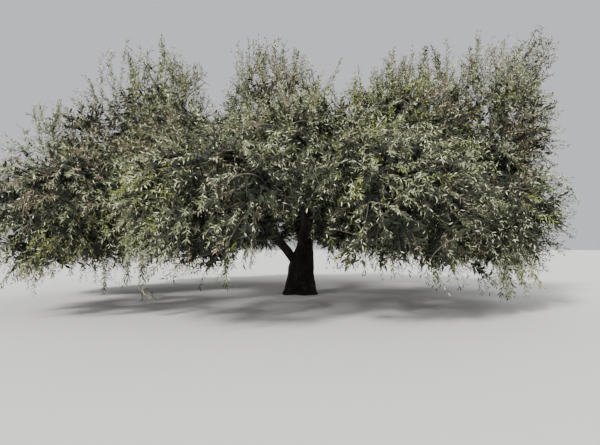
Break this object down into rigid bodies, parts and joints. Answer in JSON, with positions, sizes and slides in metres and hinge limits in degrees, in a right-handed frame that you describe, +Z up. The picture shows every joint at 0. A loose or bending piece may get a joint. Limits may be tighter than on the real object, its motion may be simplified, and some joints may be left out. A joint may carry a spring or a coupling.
{
  "type": "olive tree",
  "caption": "Old spreading olive tree with a short fluted trunk, low fork, weeping skirt of grey-green foliage and upright shoots on top.",
  "frame": {"origin": "middle of the flat cut under the trunk, at ground level", "axes": "+Z up along the trunk, +X towards the crown's right side as seen from the front, +Y away from the front"},
  "size_m": [15.892, 14.5575, 7.8296],
  "materials": {
    "bark": "rough, fissured bark",
    "leaves": "matt grey-green leaves, silvery underneath"
  },
  "bodies": {
    "root": {"trunk": "bark", "bough_left": "bark", "bough_back": "bark", "bough_right": "bark", "bough_front": "bark", "bough_centre": "bark", "branch_far_right": "bark", "branch_far_left": "bark", "branch_shoulder_2": "bark", "branch_shoulder_3": "bark", "branch_shoulder_4": "bark", "branch_shoulder_5": "bark", "branch_shoulder_6": "bark", "branch_shoulder_7": "bark", "branch_shoulder_8": "bark", "branch_weeping_1": "bark", "branch_weeping_2": "bark", "branch_weeping_3": "bark", "branch_weeping_4": "bark", "branch_weeping_5": "bark", "branch_weeping_6": "bark", "branch_weeping_7": "bark", "branch_weeping_8": "bark", "branch_weeping_9": "bark", "branch_weeping_10": "bark", "foliage_left": "leaves", "foliage_centre": "leaves", "foliage_right": "leaves", "foliage_back": "leaves", "foliage_far_right": "leaves", "foliage_far_left": "leaves", "foliage_shoulder_1": "leaves", "foliage_shoulder_2": "leaves", "foliage_shoulder_3": "leaves", "foliage_shoulder_4": "leaves", "foliage_shoulder_5": "leaves", "foliage_shoulder_6": "leaves", "foliage_shoulder_7": "leaves", "foliage_shoulder_8": "leaves", "foliage_weeping_1": "leaves", "foliage_weeping_2": "leaves", "foliage_weeping_3": "leaves", "foliage_weeping_4": "leaves", "foliage_weeping_5": "leaves", "foliage_weeping_6": "leaves", "foliage_weeping_7": "leaves", "foliage_weeping_8": "leaves", "foliage_weeping_9": "leaves", "foliage_weeping_10": "leaves"}
  },
  "joints": []
}
